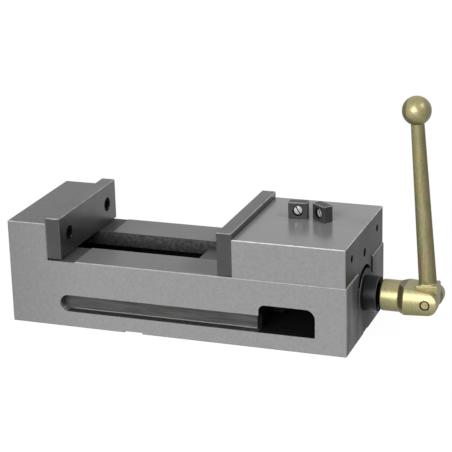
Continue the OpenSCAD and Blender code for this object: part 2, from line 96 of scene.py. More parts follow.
class Graph:
    """The nodes of a material or of the world, under construction round its shader."""

    def __init__(self, owner: bpy.types.ID) -> None:
        """Starts the nodes.

        Args:
            owner: The new material or world.
        """
        owner.use_nodes = True
        self.tree = owner.node_tree
        self.nodes = self.tree.nodes
        self.shader = self.nodes.get("Principled BSDF") or self.nodes["Background"]

    def feed(self, socket: Socket, value: object) -> None:
        """Links a socket to another, or sets its value.

        Args:
            socket: The input to feed.
            value: An output socket, a number or a colour.
        """
        if isinstance(value, Socket):
            self.tree.links.new(value, socket)
        elif isinstance(value, tuple) and len(value) == 3 and socket.type == "RGBA":
            socket.default_value = (*value, 1.0)
        else:
            socket.default_value = value

    def set(self, **values: object) -> None:
        """Feeds the shader's inputs, given by their names with underscores for spaces."""
        for name, value in values.items():
            self.feed(self.shader.inputs[name.replace("_", " ")], value)

    def node(
        self, kind: str, inputs: dict[object, object], output: str | int = 0, **settings: object
    ) -> Socket:
        """Adds a shader node.

        Args:
            kind: Its type, without the leading ShaderNode.
            inputs: Names or numbers of its inputs, and what feeds each.
            output: Name or number of the output that is used.
            settings: Its other properties.

        Returns:
            The output.
        """
        node = self.nodes.new("ShaderNode" + kind)
        for name, value in settings.items():
            setattr(node, name, value)
        for name, value in inputs.items():
            self.feed(node.inputs[name], value)
        return node.outputs[output]

    def coords(self, source: str = "Object") -> Socket:
        """The object's coordinates ("Object") or its normal ("Normal")."""
        return self.node("TexCoord", {}, source)

    def part(self, source: str, axis: str) -> Socket:
        """One axis of the object's coordinates or of its normal."""
        return self.node("SeparateXYZ", {0: self.coords(source)}, axis)

    def stretched(self, x: float, y: float, z: float) -> Socket:
        """Object coordinates, scaled along each axis."""
        return self.node("Mapping", {"Vector": self.coords(), "Scale": (x, y, z)})

    def noise(
        self, scale: float, detail: float = 3.0, rough: float = 0.5, at: Socket | None = None
    ) -> Socket:
        """Noise between 0 and 1.

        Args:
            scale: Cells per metre of the coordinates.
            detail: Number of finer layers.
            rough: Weight of the finer layers.
            at: Coordinates, by default the object's own.

        Returns:
            The noise value.
        """
        where = at or self.coords()
        return self.node(
            "TexNoise", {"Vector": where, "Scale": scale, "Detail": detail, "Roughness": rough}
        )

    def math(self, kind: str, a: object, b: object = 0.0) -> Socket:
        """A maths node on one or two values."""
        return self.node("Math", {0: a, 1: b}, operation=kind)

    def times(self, first: object, *others: object) -> Socket:
        """The product of several values."""
        for other in others:
            first = self.math("MULTIPLY", first, other)
        return first

    def inside(self, value: object, limits: Span) -> Socket:
        """Is 1 between two limits in millimetres, and 0 outside."""
        low, high = limits
        above = self.math("GREATER_THAN", value, low * MM)
        return self.times(above, self.math("LESS_THAN", value, high * MM))

    def vary(self, noise: object, low: float, high: float) -> Socket:
        """Maps the usual range of a noise on to another range."""
        return self.spread(noise, 0.3, 0.7, low, high)

    def spread(
        self, value: object, low: float, high: float, to_low: float, to_high: float
    ) -> Socket:
        """Maps low to high on to another range, and clamps it."""
        return self.node("MapRange", dict(enumerate((value, low, high, to_low, to_high))))

    def blend(self, factor: object, a: object, b: object) -> Socket:
        """Mixes two colours."""
        return self.node("Mix", {"Factor": factor, 6: a, 7: b}, 2, data_type="RGBA")

    def dim(self, colour: object, factor: object) -> Socket:
        """Multiplies a colour by a number that varies over the surface."""
        return self.node("VectorMath", {0: colour, "Scale": factor}, operation="SCALE")

    def facing(self, axis: str, start: float = 0.75, full: float = 0.95) -> Socket:
        """Share, from 0 to 1, by which a face looks along an axis of the piece."""
        along = self.math("ABSOLUTE", self.part("Normal", axis))
        return self.spread(along, start, full, 0.0, 1.0)

    def slanted(self, start: float = 0.78, full: float = 0.73) -> Socket:
        """Share, from 0 to 1, by which a face lies across two axes, as a broken edge does."""
        largest = 0.0
        for axis in "XYZ":
            along = self.math("ABSOLUTE", self.part("Normal", axis))
            largest = self.math("MAXIMUM", along, largest)
        return self.spread(largest, full, start, 1.0, 0.0)

    def wear_and_edge_highlight(self, colour: object, edge: Colour, most: float = 1.0) -> Socket:
        """Brightens the broken edges, most where they look upwards, here more and there less:
        partly bare worn metal, partly a painted highlight where the light catches them.

        Args:
            colour: The colour of the faces.
            edge: The colour of the bare edges, lighter than bare metal as a painted highlight.
            most: Share of the bare colour on the most worn edge.

        Returns:
            The colour with its worn and highlighted edges.
        """
        patches = self.spread(self.noise(90, 4, 0.7), 0.4, 0.6, 0.55, 1.0)
        up = self.math("ADD", self.towards((0.0, 0.0, 1.0), 0.3, 0.65), 0.15)
        return self.blend(self.times(self.slanted(), patches, up, most), colour, edge)

    def towards(self, way: Sequence[float], start: float, full: float) -> Socket:
        """Share by which a face looks along a direction of length one.

        Args:
            way: The direction.
            start: Cosine at which the share is 0.
            full: Cosine at which it is 1.

        Returns:
            The share, from 0 to 1.
        """
        both = {0: self.coords("Normal"), 1: way}
        cosine = self.node("VectorMath", both, "Value", operation="DOT_PRODUCT")
        return self.spread(cosine, start, full, 0.0, 1.0)

    def away(self, centre: Span) -> Socket:
        """Distance from an axis along X, in metres.

        Args:
            centre: The axis's Y and Z, in millimetres.

        Returns:
            The distance.
        """
        shift = (0, -centre[0] * MM, -centre[1] * MM)
        changes = {"Vector": self.coords(), "Location": shift, "Scale": (0, 1, 1)}
        flat = self.node("Mapping", changes)
        return self.node("VectorMath", {0: flat}, "Value", operation="LENGTH")

    def bump(self, height: object, depth: float, strength: float = 1.0) -> None:
        """Gives the shader a bump.

        Args:
            height: Height value between 0 and 1.
            depth: Height of a full step in metres.
            strength: Strength of the effect.
        """
        relief = {"Height": height, "Distance": depth, "Strength": strength}
        self.set(Normal=self.node("Bump", relief))


@dataclass(frozen=True)
class Zone:
    """A part with a tone laid over its material: a box, alike on both sides.

    A zone is blotched, or streaked lengthwise, and may darken towards its foot. Most zones are
    painted shade or shadow in hollows, holes and gaps.
    """

    x: Span
    out: Span
    z: Span
    colour: Colour
    contrast: float = 0.5
    streaked: bool = False
    foot: float = 1.0
    rough: float = 0.95

    def over(self, g: Graph, colour: Socket, rough: Socket) -> tuple[Socket, Socket]:
        """Lays the zone over a material's colour and roughness.

        Args:
            g: The material under construction.
            colour: The colour below.
            rough: The roughness below.

        Returns:
            Colour and roughness with the zone.
        """
        if self.streaked:
            pattern = g.noise(1.0, 5, 0.65, g.stretched(22, 300, 420))
        else:
            pattern = g.noise(230, 6, 0.7)
        low, high = self.z
        height = g.part("Object", "Z")
        fade = g.spread(height, low * MM, high * MM, self.foot, 1.0)
        blotches = g.vary(pattern, 1 - self.contrast, 1 + self.contrast)
        out = g.math("ABSOLUTE", g.part("Object", "Y"))
        share = g.times(
            g.inside(g.part("Object", "X"), self.x), g.inside(out, self.out),
            g.inside(height, self.z),
        )
        tone = g.dim(self.colour, g.times(blotches, fade))
        return g.blend(share, colour, tone), g.math("MAXIMUM", rough, g.times(share, self.rough))


@dataclass(frozen=True)
class Finish:
    """One material of the vise, painted as a node graph."""

    name: str

    def build(self) -> Material:
        """Builds the material."""
        material = bpy.data.materials.new(self.name)
        self.paint(Graph(material))
        return material

    def paint(self, g: Graph) -> None:
        """Feeds the shader. Each kind of finish does it in its own way."""
        raise NotImplementedError


@dataclass(frozen=True)
class GroundIron(Finish):
    """Grey iron: fine blasted sides, ground tops with lengthwise lines, and streaked ends."""

    side: Colour
    top: Colour
    # Colour of the faces that look along X: partly the darker ground finish, partly painted shade.
    end: Colour
    # Colour of the broken edges: bare worn metal, lightened further as a painted highlight.
    edge: Colour
    side_rough: float = 0.6
    top_rough: float = 0.3
    end_rough: float = 0.5
    metal: float = 0.1
    streak: float = 0.15
    specular: float = 0.35
    # Painted shade round the screw's axis on the faces that look along X: the colour's factor near
    # the axis, 1 for none.
    shade_round_screw: float = 1.0
    far_end: float = 1.0
    screw_axis: Span = (0.0, SCREW_Z)
    zones: tuple[Zone, ...] = ()

    def paint(self, g: Graph) -> None:
        """Paints the three kinds of face, then the painted shade round the screw's axis, the worn
        edges with their painted highlight and the zones.
        """
        mottle = g.spread(g.noise(260, 4, 0.7), 0.35, 0.65, 0.93, 1.07)
        grain = g.noise(1200, 2, 0.6)
        speckle = g.spread(grain, 0.35, 0.65, 0.93, 1.07)
        lines = g.noise(1.0, 3, 0.6, g.stretched(14, 900, 14))
        streaks = g.noise(1.0, 5, 0.6, g.stretched(60, 75, 22))
        cloud = g.noise(16, 2, 0.5)
        top_share = g.facing("Z")
        end_share = g.facing("X")
        fade = g.spread(g.part("Object", "X"), -0.2, -0.11, self.far_end, 1.0)
        side = g.dim(self.side, g.times(fade, mottle, speckle))
        top = g.dim(self.top, g.spread(lines, 0.25, 0.75, 0.93, 1.06))
        end = g.dim(self.end, g.vary(streaks, 1 - self.streak, 1 + self.streak))
        # Painted shade: the ends darken near the screw's axis, where the collar and hub stand.
        reach = g.math("ADD", g.away(self.screw_axis), g.vary(cloud, -0.012, 0.012))
        end = g.dim(end, g.spread(reach, 0.028, 0.06, self.shade_round_screw, 1.0))
        colour = g.wear_and_edge_highlight(g.blend(end_share, g.blend(top_share, side, top), end), self.edge)
        rough = g.spread(top_share, 0.0, 1.0, self.side_rough, self.top_rough)
        rough = g.spread(end_share, 0.0, 1.0, rough, self.end_rough)
        rough = g.math("ADD", rough, g.vary(cloud, -0.03, 0.04))
        for zone in self.zones:
            colour, rough = zone.over(g, colour, rough)
        smooth = g.math("MAXIMUM", top_share, end_share)
        grains = g.times(grain, g.math("SUBTRACT", 1.0, smooth))
        g.set(Base_Color=colour, Roughness=rough)
        g.set(Metallic=self.metal, Specular_IOR_Level=self.specular)
        g.bump(g.math("ADD", grains, g.times(lines, smooth, 0.2)), 0.0001, 0.4)


@dataclass(frozen=True)
class Brushed(Finish):
    """Ground or turned metal with fine lines along one direction."""

    colour: Colour
    lines: tuple[int, int, int]
    rough: float = 0.35
    metal: float = 0.8
    contrast: float = 0.12
    depth: float = 0.00006
    edge_wear_and_highlight: float = 0.0

    def paint(self, g: Graph) -> None:
        """Paints the lines, a faint cloud and the worn edges with their painted highlight."""
        lines = g.noise(1.0, 3, 0.6, g.stretched(*self.lines))
        cloud = g.noise(28, 4, 0.6)
        low, high = 1 - self.contrast, 1 + self.contrast
        tone = g.times(g.spread(lines, 0.25, 0.75, low, high), g.vary(cloud, low, high))
        rough = g.vary(cloud, self.rough - 0.05, self.rough + 0.07)
        colour = g.wear_and_edge_highlight(g.dim(self.colour, tone), grey(0.45), self.edge_wear_and_highlight)
        g.set(Base_Color=colour, Roughness=rough, Metallic=self.metal)
        g.bump(lines, self.depth, 0.5)


@dataclass(frozen=True)
class Blackened(Finish):
    """Black oxide steel: nearly black, with a faint sheen of oil and fine pits."""

    colour: Colour = (0.012, 0.012, 0.0125)
    rough: float = 0.36
    metal: float = 0.0
    specular: float = 0.3
    edge_wear_and_highlight: float = 0.0

    def paint(self, g: Graph) -> None:
        """Paints the pits, a faint cloud and the worn edges with their painted highlight."""
        pits = g.noise(900, 3, 0.6)
        cloud = g.noise(60, 3, 0.6)
        tone = g.times(g.vary(cloud, 0.75, 1.3), g.vary(pits, 0.8, 1.25))
        rough = g.vary(pits, self.rough - 0.06, self.rough + 0.1)
        colour = g.wear_and_edge_highlight(g.dim(self.colour, tone), grey(0.35), self.edge_wear_and_highlight)
        g.set(Base_Color=colour, Roughness=rough)
        g.set(Metallic=self.metal, Specular_IOR_Level=self.specular)
        g.bump(pits, 0.00008, 0.6)


@dataclass(frozen=True)
class YellowZinc(Finish):
    """Yellow passivated zinc on a smooth casting, with drifts of green and rose."""

    gold: Colour = (0.35, 0.307, 0.152)
    green: Colour = (0.312, 0.305, 0.158)
    rose: Colour = (0.39, 0.313, 0.19)
    # Dark olive of the painted shade.
    shade_olive: Colour = (0.085, 0.07, 0.026)
    flare: float = 243.4
    shank: Span = (66.0, 245.5)
    rough: float = 0.36
    metal: float = 0.6
    specular: float = 0.2

    def paint(self, g: Graph) -> None:
        """Paints the three tones, painted shade below, beside and in the flare, and the shank,
        which is rougher and darkened by painted shade.
        """
        drift = g.noise(38, 3, 0.6)
        blush = g.noise(62, 2, 0.5)
        skin = g.noise(420, 4, 0.6)
        grain = g.noise(1700, 2, 0.5)
        colour = g.blend(g.spread(drift, 0.42, 0.62, 0.0, 1.0), self.gold, self.green)
        colour = g.blend(g.spread(blush, 0.52, 0.7, 0.0, 0.8), colour, self.rose)
        colour = g.dim(colour, g.vary(skin, 0.82, 1.16))
        from_flare = g.math("SUBTRACT", g.part("Object", "X"), self.flare * MM)
        # Painted shade: the zinc darkens in the flare between band and fork.
        flare_shade = g.spread(g.math("ABSOLUTE", from_flare), 0.002, 0.0042, 0.8, 0.0)
        # Painted shade below, and on faces that look along +X.
        under = g.times(g.towards((0.0, 0.0, -1.0), 0.1, 1.0), 0.85)
        beside = g.times(g.towards((1.0, 0.0, 0.0), 0.3, 1.0), 0.6)
        zinc_shade = g.math("MAXIMUM", flare_shade, g.math("MAXIMUM", under, beside))
        colour = g.blend(zinc_shade, colour, self.shade_olive)
        low, high = self.shank
        height = g.part("Object", "Z")
        on_shank = g.times(
            g.spread(height, low * MM, (low + 1) * MM, 0.0, 1.0),
            g.spread(height, (high - 1) * MM, high * MM, 1.0, 0.0),
        )
        # Painted shade: the shank is darkened, in lengthwise streaks.
        drawn = g.noise(1.0, 4, 0.6, g.stretched(500, 500, 30))
        colour = g.dim(colour, g.spread(on_shank, 0.0, 1.0, 1.0, g.vary(drawn, 0.62, 0.86)))
        rough = g.vary(skin, self.rough - 0.05, self.rough + 0.08)
        rough = g.math("ADD", rough, g.times(on_shank, 0.16))
        g.set(Base_Color=colour, Roughness=rough)
        g.set(Metallic=self.metal, Specular_IOR_Level=self.specular)
        g.bump(g.math("ADD", skin, g.times(grain, 0.4)), 0.00022, 0.5)


# Near black painted shade, laid by zones over hollows, holes and gaps that get little light.
PAINTED_SHADE_BLACK = grey(0.007)
CAST_BODY = GroundIron(
    "cast_body", grey(0.272), grey(0.225), grey(0.17, 0.001), grey(0.44),
    streak=0.35, specular=0.05, shade_round_screw=0.12, far_end=0.80,
    zones=(
        # Painted shade: near black in the end wall's notch and in the cavity.
        Zone((174, 199.9), (-1, 30.15), (60, 79.4), PAINTED_SHADE_BLACK),
        Zone((-190, 174), (-1, 45.5), (4.5, 62.9), PAINTED_SHADE_BLACK),
        # Painted shade on the slot's walls, darker towards its floor.
        Zone((-190, 174), (-1, 30.2), (62, 79.4), grey(0.08, -0.001), 0.6, False, 0.45),
        # Painted shadow and reflection of the fixed plate on the relief strip beside it.
        Zone((-151.9, -118.6), (-1, 79.9), (78.3, 78.8), grey(0.09), 0.3, rough=0.5),
        Zone((-199.3, -151.9), (-1, 79.1), (121.8, 122.2), grey(0.195), 0.15, rough=0.4),
        Zone((-190, 94.7), (67, 68.2), (10, 38.7), grey(0.09, -0.002), 0.4, True, rough=0.7),
        Zone((-190, 98.5), (69.6, 79.4), (18.4, 18.8), grey(0.05, -0.001), 0.4),
        # Painted shadow: near black on the groove floor and ledge just ahead of the window, as a
        # dark reveal.
        Zone((94.7, 164.7), (40, 69.6), (10, 51.2), PAINTED_SHADE_BLACK),
        Zone((98.5, 164.7), (69.6, 79.7), (10, 51.2), PAINTED_SHADE_BLACK),
    ),
)
GROUND_JAW = GroundIron(
    "ground_jaw", grey(0.248), grey(0.255, 0.002), grey(0.02, 0.0002), grey(0.70),
    top_rough=0.23, specular=0.31,
    zones=(
        # Painted shade: near black in the plate screws' holes, in the set screw's hole and on the
        # jaw's foot in the slot.
        Zone((170, 198.65), (49.5, 58.5), (100.5, 109.5), PAINTED_SHADE_BLACK),
        Zone((150, 198.65), (-1, 5.3), (88.7, 99.3), PAINTED_SHADE_BLACK),
        Zone((113, 198.4), (-1, 29.3), (60, 78.7), PAINTED_SHADE_BLACK),
    ),
)
NUT_STEEL = GroundIron(
    "nut_steel", grey(0.05), grey(0.075, 0.0005), grey(0.05), grey(0.12),
    # Painted shade: near black on the nut inside the cavity.
    top_rough=0.4, specular=0.2, zones=(Zone((-190, 190), (-1, 45), (0, 62), PAINTED_SHADE_BLACK),),
)
PLATE_STEEL = Brushed("plate_steel", grey(0.041), (400, 14, 400), 0.3, 0.1, 0.08, edge_wear_and_highlight=0.8)
BLACK_STEEL = Blackened("black_steel", grey(0.009, 0.0002), 0.36, 0.0, 0.32)
# Matt near black: the plate screws' black oxide, and painted shade in slots, bores, the pin's sink
# and on dark faces of the collar and the lead screw.
MATT_BLACK_AND_SHADE = Blackened("matt_black_and_shade", grey(0.004), 0.8, 0.0, 0.05)
KEY_STEEL = Blackened("key_steel", grey(0.03), 0.45, 0.0, 0.35, 0.9)
SCREW_STEEL = Brushed("screw_steel", grey(0.17, 0.005), (500, 30, 30), 0.38, 0.85, 0.15)
BRIGHT_STEEL = Brushed("bright_steel", grey(0.44), (300, 300, 300), 0.42, 0.25, 0.1)
BRONZE = Brushed("bronze", (0.42, 0.28, 0.11), (500, 30, 30), 0.35, 0.85, 0.15)
YELLOW_ZINC = YellowZinc("yellow_zinc")
FINISHES = (
    CAST_BODY, GROUND_JAW, NUT_STEEL, PLATE_STEEL, BLACK_STEEL, MATT_BLACK_AND_SHADE, KEY_STEEL, SCREW_STEEL,
    BRIGHT_STEEL, BRONZE, YELLOW_ZINC,
)


def deselect() -> None:
    """Leaves nothing selected and no piece in edit mode."""
    if bpy.context.mode != "OBJECT":
        bpy.ops.object.mode_set(mode="OBJECT")
    bpy.ops.object.select_all(action="DESELECT")


def only(piece: Piece) -> None:
    """Selects one piece and makes it the active one."""
    deselect()
    piece.select_set(True)
    bpy.context.view_layer.objects.active = piece


def named(name: str) -> Piece:
    """Names the piece that was just added and returns it."""
    piece = bpy.context.active_object
    piece.name = name
    piece.data.name = name
    return piece


@contextmanager
def editing(piece: Piece, kind: str = "VERT") -> Iterator[None]:
    """Opens a piece in edit mode with everything selected, and closes it again."""
    only(piece)
    bpy.ops.object.mode_set(mode="EDIT")
    bpy.ops.mesh.select_mode(type=kind)
    bpy.ops.mesh.select_all(action="SELECT")
    yield
    bpy.ops.object.mode_set(mode="OBJECT")


def pick(piece: Piece, kind: str, test: Callable[[object], bool]) -> None:
    """Selects parts of a piece in edit mode by a test of their place or normal.

    Args:
        piece: The piece, in edit mode.
        kind: Either "VERT", "EDGE" or "FACE".
        test: Says whether a vertex, edge or face is picked.
    """
    bpy.ops.mesh.select_mode(type=kind)
    bpy.ops.mesh.select_all(action="DESELECT")
    mesh = bmesh.from_edit_mesh(piece.data)
    for part in {"VERT": mesh.verts, "EDGE": mesh.edges, "FACE": mesh.faces}[kind]:
        if test(part):
            part.select_set(True)
    mesh.select_flush_mode()
    bmesh.update_edit_mesh(piece.data)


def close_up(piece: Piece) -> None:
    """Merges doubles and turns every face of a piece outwards."""
    with editing(piece):
        bpy.ops.mesh.remove_doubles(threshold=1e-6)
        bpy.ops.mesh.normals_make_consistent(inside=False)


def settle(piece: Piece) -> None:
    """Puts a piece's place and turn into its mesh."""
    only(piece)
    bpy.ops.object.transform_apply(location=True, rotation=True, scale=True)


def both_ends(half: Profile) -> Profile:
    """A profile that is alike at both ends, by its half from the middle outwards."""
    return [(-height, radius) for height, radius in reversed(half)] + list(half)


def turned(name: str, profile: Profile, sides: int = SMALL) -> Piece:
    """Turns a closed piece of round section, step by step along Z.

    Args:
        name: The piece's name.
        profile: Places along the axis and radii, all in millimetres.
        sides: Number of sides of the round.

    Returns:
        The turned piece, round the origin's Z axis.
    """
    deselect()
    height, radius = profile[0]
    bpy.ops.mesh.primitive_circle_add(
        vertices=sides, radius=radius * MM, fill_type="NGON", location=(0, 0, height * MM)
    )
    piece = named(name)
    settle(piece)
    with editing(piece, "FACE"):
        for next_height, next_radius in profile[1:]:
            step = (0, 0, (next_height - height) * MM)
            bpy.ops.mesh.extrude_region_move(TRANSFORM_OT_translate={"value": step})
            share = next_radius / radius
            bpy.ops.transform.resize(
                value=(share, share, 1), center_override=(0, 0, next_height * MM)
            )
            height, radius = next_height, next_radius
    close_up(piece)
    return piece


def place(piece: Piece, at: Sequence[float], turn: Axis | Matrix) -> None:
    """Stands a piece that was made at the origin on its place.

    Args:
        piece: The piece.
        at: Its place in millimetres.
        turn: The direction that its Z takes, or any other turn.
    """
    turn = turn.value if isinstance(turn, Axis) else turn
    piece.matrix_world = Matrix.Translation(Vector(at) * MM) @ turn
    settle(piece)


def block(name: str, low: Sequence[float], high: Sequence[float]) -> Piece:
    """A cube stretched between two corners, in millimetres."""
    deselect()
    middle = [(a + b) / 2 * MM for a, b in zip(low, high)]
    bpy.ops.mesh.primitive_cube_add(size=1, location=middle)
    piece = named(name)
    piece.scale = [(b - a) * MM for a, b in zip(low, high)]
    settle(piece)
    return piece


def rod(name: str, radius: float, low: float, high: float, sides: int = SMALL) -> Piece:
    """A bar along Z between two heights, in millimetres, with any number of sides."""
    deselect()
    bpy.ops.mesh.primitive_cylinder_add(
        vertices=sides, radius=radius * MM, depth=(high - low) * MM,
        location=(0, 0, (high + low) / 2 * MM),
    )
    piece = named(name)
    settle(piece)
    return piece


def modify(piece: Piece, kind: str, **settings: object) -> None:
    """Adds a modifier with its settings to a piece, and applies it."""
    change = piece.modifiers.new("change", kind)
    for name, value in settings.items():
        setattr(change, name, value)
    only(piece)
    bpy.ops.object.modifier_apply(modifier=change.name)


def combine(piece: Piece, tools: Sequence[Piece], operation: str) -> None:
    """Cuts tools out of a piece, or joins them to it, and clears them away.

    Args:
        piece: The piece that is shaped.
        tools: Closed pieces that shape it.
        operation: The Boolean modifier's operation.
    """
    for tool in tools:
        modify(piece, "BOOLEAN", operation=operation, solver="EXACT", object=tool)
        bpy.data.objects.remove(tool, do_unlink=True)


def cast_skin(piece: Piece, voxel: float, passes: int) -> None:
    """Melts the edges of a piece together, as a casting's are.

    Args:
        piece: A closed piece.
        voxel: Size of the new faces in millimetres.
        passes: How often the surface is smoothed.
    """
    close_up(piece)
    modify(piece, "REMESH", mode="VOXEL", voxel_size=voxel * MM, use_smooth_shade=True)
    modify(piece, "SMOOTH", factor=0.5, iterations=passes)


def copy_of(source: Piece) -> Piece:
    """A copy of a piece with its own mesh."""
    piece = source.copy()
    piece.data = source.data.copy()
    bpy.context.scene.collection.objects.link(piece)
    return piece


def join(pieces: Sequence[Piece], name: str) -> Piece:
    """Makes one piece of several, with each its own closed shell."""
    only(pieces[0])
    for piece in pieces:
        piece.select_set(True)
    bpy.ops.object.join()
    return named(name)


@dataclass
class Part:
    """A sub-assembly of the vise, which takes its materials from the finishes by name."""

    finishes: dict[str, Material]

    def dress(
        self, piece: Piece, finish: str, body: Body, node: str,
        slot: str = "", angle: float = 32.0,
    ) -> None:
        """Finishes a piece: its material, its shading, and its ties to the frame.

        Args:
            piece: The finished shape.
            finish: Its finish.
            body: The body that it rides on.
            node: The CAD node that it stands for.
            slot: Not used.
            angle: Sharpest edge, in degrees, that is shaded as smooth.
        """
        piece.data.materials.clear()
        piece.data.materials.append(self.finishes[finish])
        only(piece)
        bpy.ops.object.shade_smooth_by_angle(angle=math.radians(angle))
        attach(piece, body.value)
        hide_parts(node)
        LOG.info("%s: %d faces", piece.name, len(piece.data.polygons))

    def on_screw(self, piece: Piece, x: float, turn: Axis | Matrix = Axis.X) -> None:
        """Stands a piece that was made at the origin on the lead screw's axis."""
        place(piece, (x, 0, SCREW_Z), turn)

    def touch_up(self, piece: Piece, finish: str, test: Callable[[Face], bool]) -> None:
        """Gives some faces of a finished piece another finish.

        Args:
            piece: The piece.
            finish: The other finish.
            test: Says whether a face takes it.
        """
        piece.data.materials.append(self.finishes[finish])
        with editing(piece):
            pick(piece, "FACE", test)
            piece.active_material_index = len(piece.data.materials) - 1
            bpy.ops.object.material_slot_assign()


@dataclass
class SolidPieces(Part):
    """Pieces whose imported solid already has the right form, and only takes a better finish."""

    choices: tuple[tuple[str, str], ...] = (
        ("vise_body", "cast_body"),
        ("jaw_nut", "nut_steel"),
        ("movable_jaw", "ground_jaw"),
        ("fixed_jaw_plate", "plate_steel"),
        ("movable_jaw_plate", "plate_steel"),
        ("half_ball", "black_steel"),
        ("thrust_race_inner", "bright_steel"),
        ("thrust_race_outer", "bright_steel"),
        ("thrust_balls", "bright_steel"),
        ("ball_cage", "bronze"),
        ("screw_bush", "bronze"),
    )

    def build(self) -> None:
        """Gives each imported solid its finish."""
        for node, finish in self.choices:
            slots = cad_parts[node].data.materials
            if not slots:
                slots.append(None)
            for index in range(len(slots)):
                slots[index] = self.finishes[finish]
            LOG.info("%s: finished as packed", node)


def ridge(
    name: str, root: float, crest: float, pitch: float, low: float, high: float, steps: int = 20
) -> Piece:
    """Winds a thread's ridge round Z as one closed bar.

    Args:
        name: The piece's name.
        root: Radius inside the ridge's foot, in millimetres.
        crest: Radius of its top.
        pitch: Rise of one turn.
        low: Height where it starts.
        high: Height where it ends.
        steps: Faces in one turn.

    Returns:
        The ridge, standing on the origin.
    """
    foot = pitch * 0.34
    top = pitch * 0.17
    deselect()
    bpy.ops.mesh.primitive_plane_add(
        size=1, location=((root + crest) / 2 * MM, 0, low * MM), rotation=(math.pi / 2, 0, 0)
    )
    piece = named(name)
    piece.scale = ((crest - root) * MM, 2 * foot * MM, 1)
    settle(piece)
    middle = (root + crest) / 2 * MM
    with editing(piece):
        pick(piece, "VERT", lambda v: v.co.x > middle)
        bpy.ops.transform.resize(value=(1, 1, top / foot), center_override=(0, 0, low * MM))
        bpy.ops.mesh.select_mode(type="FACE")
        bpy.ops.mesh.select_all(action="SELECT")
        bpy.ops.mesh.delete(type="ONLY_FACE")
    turns = (high - low) / pitch
    faces = round(steps * turns)
    modify(
        piece, "SCREW", axis="Z", screw_offset=(high - low) * MM, angle=math.tau * turns,
        steps=faces, render_steps=faces, use_normal_calculate=True,
    )
    with editing(piece):
        for end in (low, high):
            pick(
                piece, "EDGE", lambda e: e.is_boundary
                and abs(sum(v.co.z for v in e.verts) / 2 - end * MM) < foot * MM,
            )
            bpy.ops.mesh.edge_face_add()
    close_up(piece)
    return piece


def hexagon(name: str, flats: float, low: float, high: float) -> Piece:
    """A six-sided bar along Z, by its width across flats in millimetres."""
    return rod(name, flats / math.sqrt(3), low, high, 6)


@dataclass
class SocketScrews(Part):
    """Socket head cap screws of one jaw plate, each made with its head's face at zero."""

    node: str
    face_x: float
    axis: Axis
    body: Body
    head_r: float = 8.0
    head_h: float = 10.0
    shank_r: float = 5.0
    core_r: float = 4.2
    grip: float = 6.5
    thread_l: float = 20.0
    socket: float = 8.0
    socket_d: float = 5.5
    edge: float = 0.8
    knurls: int = 96
    knurl_depth: float = 0.965
    places: tuple[Span, ...] = ((-54.0, 105.0), (54.0, 105.0))

    def screw(self) -> Piece:
        """Models one screw, with a knurled head and a hexagon socket."""
        edge = self.edge
        grip = -self.head_h - self.grip
        foot = grip - self.thread_l
        head = turned(
            "head",
            [
                (foot - edge, self.core_r - edge), (foot, self.core_r),
                (grip, self.core_r), (grip, self.shank_r),
                (-self.head_h, self.shank_r), (-self.head_h, self.head_r - 0.3),
                (-self.head_h + 0.3, self.head_r), (-2 * edge, self.head_r),
                (-edge, self.head_r - 0.25), (0, self.head_r - edge - 0.25),
            ],
            self.knurls,
        )
        with editing(head):
            pick(head, "VERT", self.on_knurl)
            value = (self.knurl_depth, self.knurl_depth, 1)
            bpy.ops.transform.resize(value=value, center_override=(0, 0, 0))
        bore = hexagon("bore", self.socket, -self.socket_d, 1.0)
        sink = turned("sink", [(-0.6, self.socket * 0.5), (0.4, self.socket * 0.66)])
        combine(head, [bore, sink], "DIFFERENCE")
        return head

    def on_knurl(self, vert: bmesh.types.BMVert) -> bool:
        """Says whether a corner of the head lies in a groove of its knurl."""
        if math.hypot(vert.co.x, vert.co.y) < (self.head_r - 0.05) * MM:
            return False
        return round(math.atan2(vert.co.y, vert.co.x) / math.tau * self.knurls) % 2 == 0

    def build(self) -> None:
        """Builds both screws as one piece."""
        first = self.screw()
        screws = [first, copy_of(first)]
        for screw, (y, z) in zip(screws, self.places):
            place(screw, (self.face_x, y, z), self.axis)
        piece = join(screws, self.node + "_detail")
        # The screws take the matt black: black oxide, darkened further as painted shade in their
        # counterbores.
        self.dress(piece, "matt_black_and_shade", self.body, self.node, slot="black_steel")


@dataclass
class SetScrew(Part):
    """Set screw with a full thread and a hexagon socket, by default the jaw's long one."""

    node: str
    body: Body
    at: tuple[float, float, float]
    axis: Axis
    length: float = 78.0
    radius: float = 5.0
    core: float = 4.15
    pitch: float = 1.5
    foot_edge: Span = (1.0, 1.2)
    head_edge: float = 0.8
    thread_ends: Span = (1.6, 1.2)
    socket: Span = (5.0, 6.0)
    sides: int = 48

    def build(self) -> None:
        """Builds the screw."""
        long, core, edge = self.length, self.core, self.head_edge
        foot_l, foot_in = self.foot_edge
        flats, deep = self.socket
        start, rest = self.thread_ends
        profile = [(0, core - foot_in), (foot_l, core), (long - edge, core), (long, core - edge)]
        shank = turned("shank", profile, self.sides)
        combine(shank, [hexagon("bore", flats, long - deep, long + 1)], "DIFFERENCE")
        thread = ridge("thread", core - 0.1, self.radius, self.pitch, start, long - rest)
        piece = join([shank, thread], self.node + "_detail")
        place(piece, self.at, self.axis)
        self.dress(piece, "black_steel", self.body, self.node)


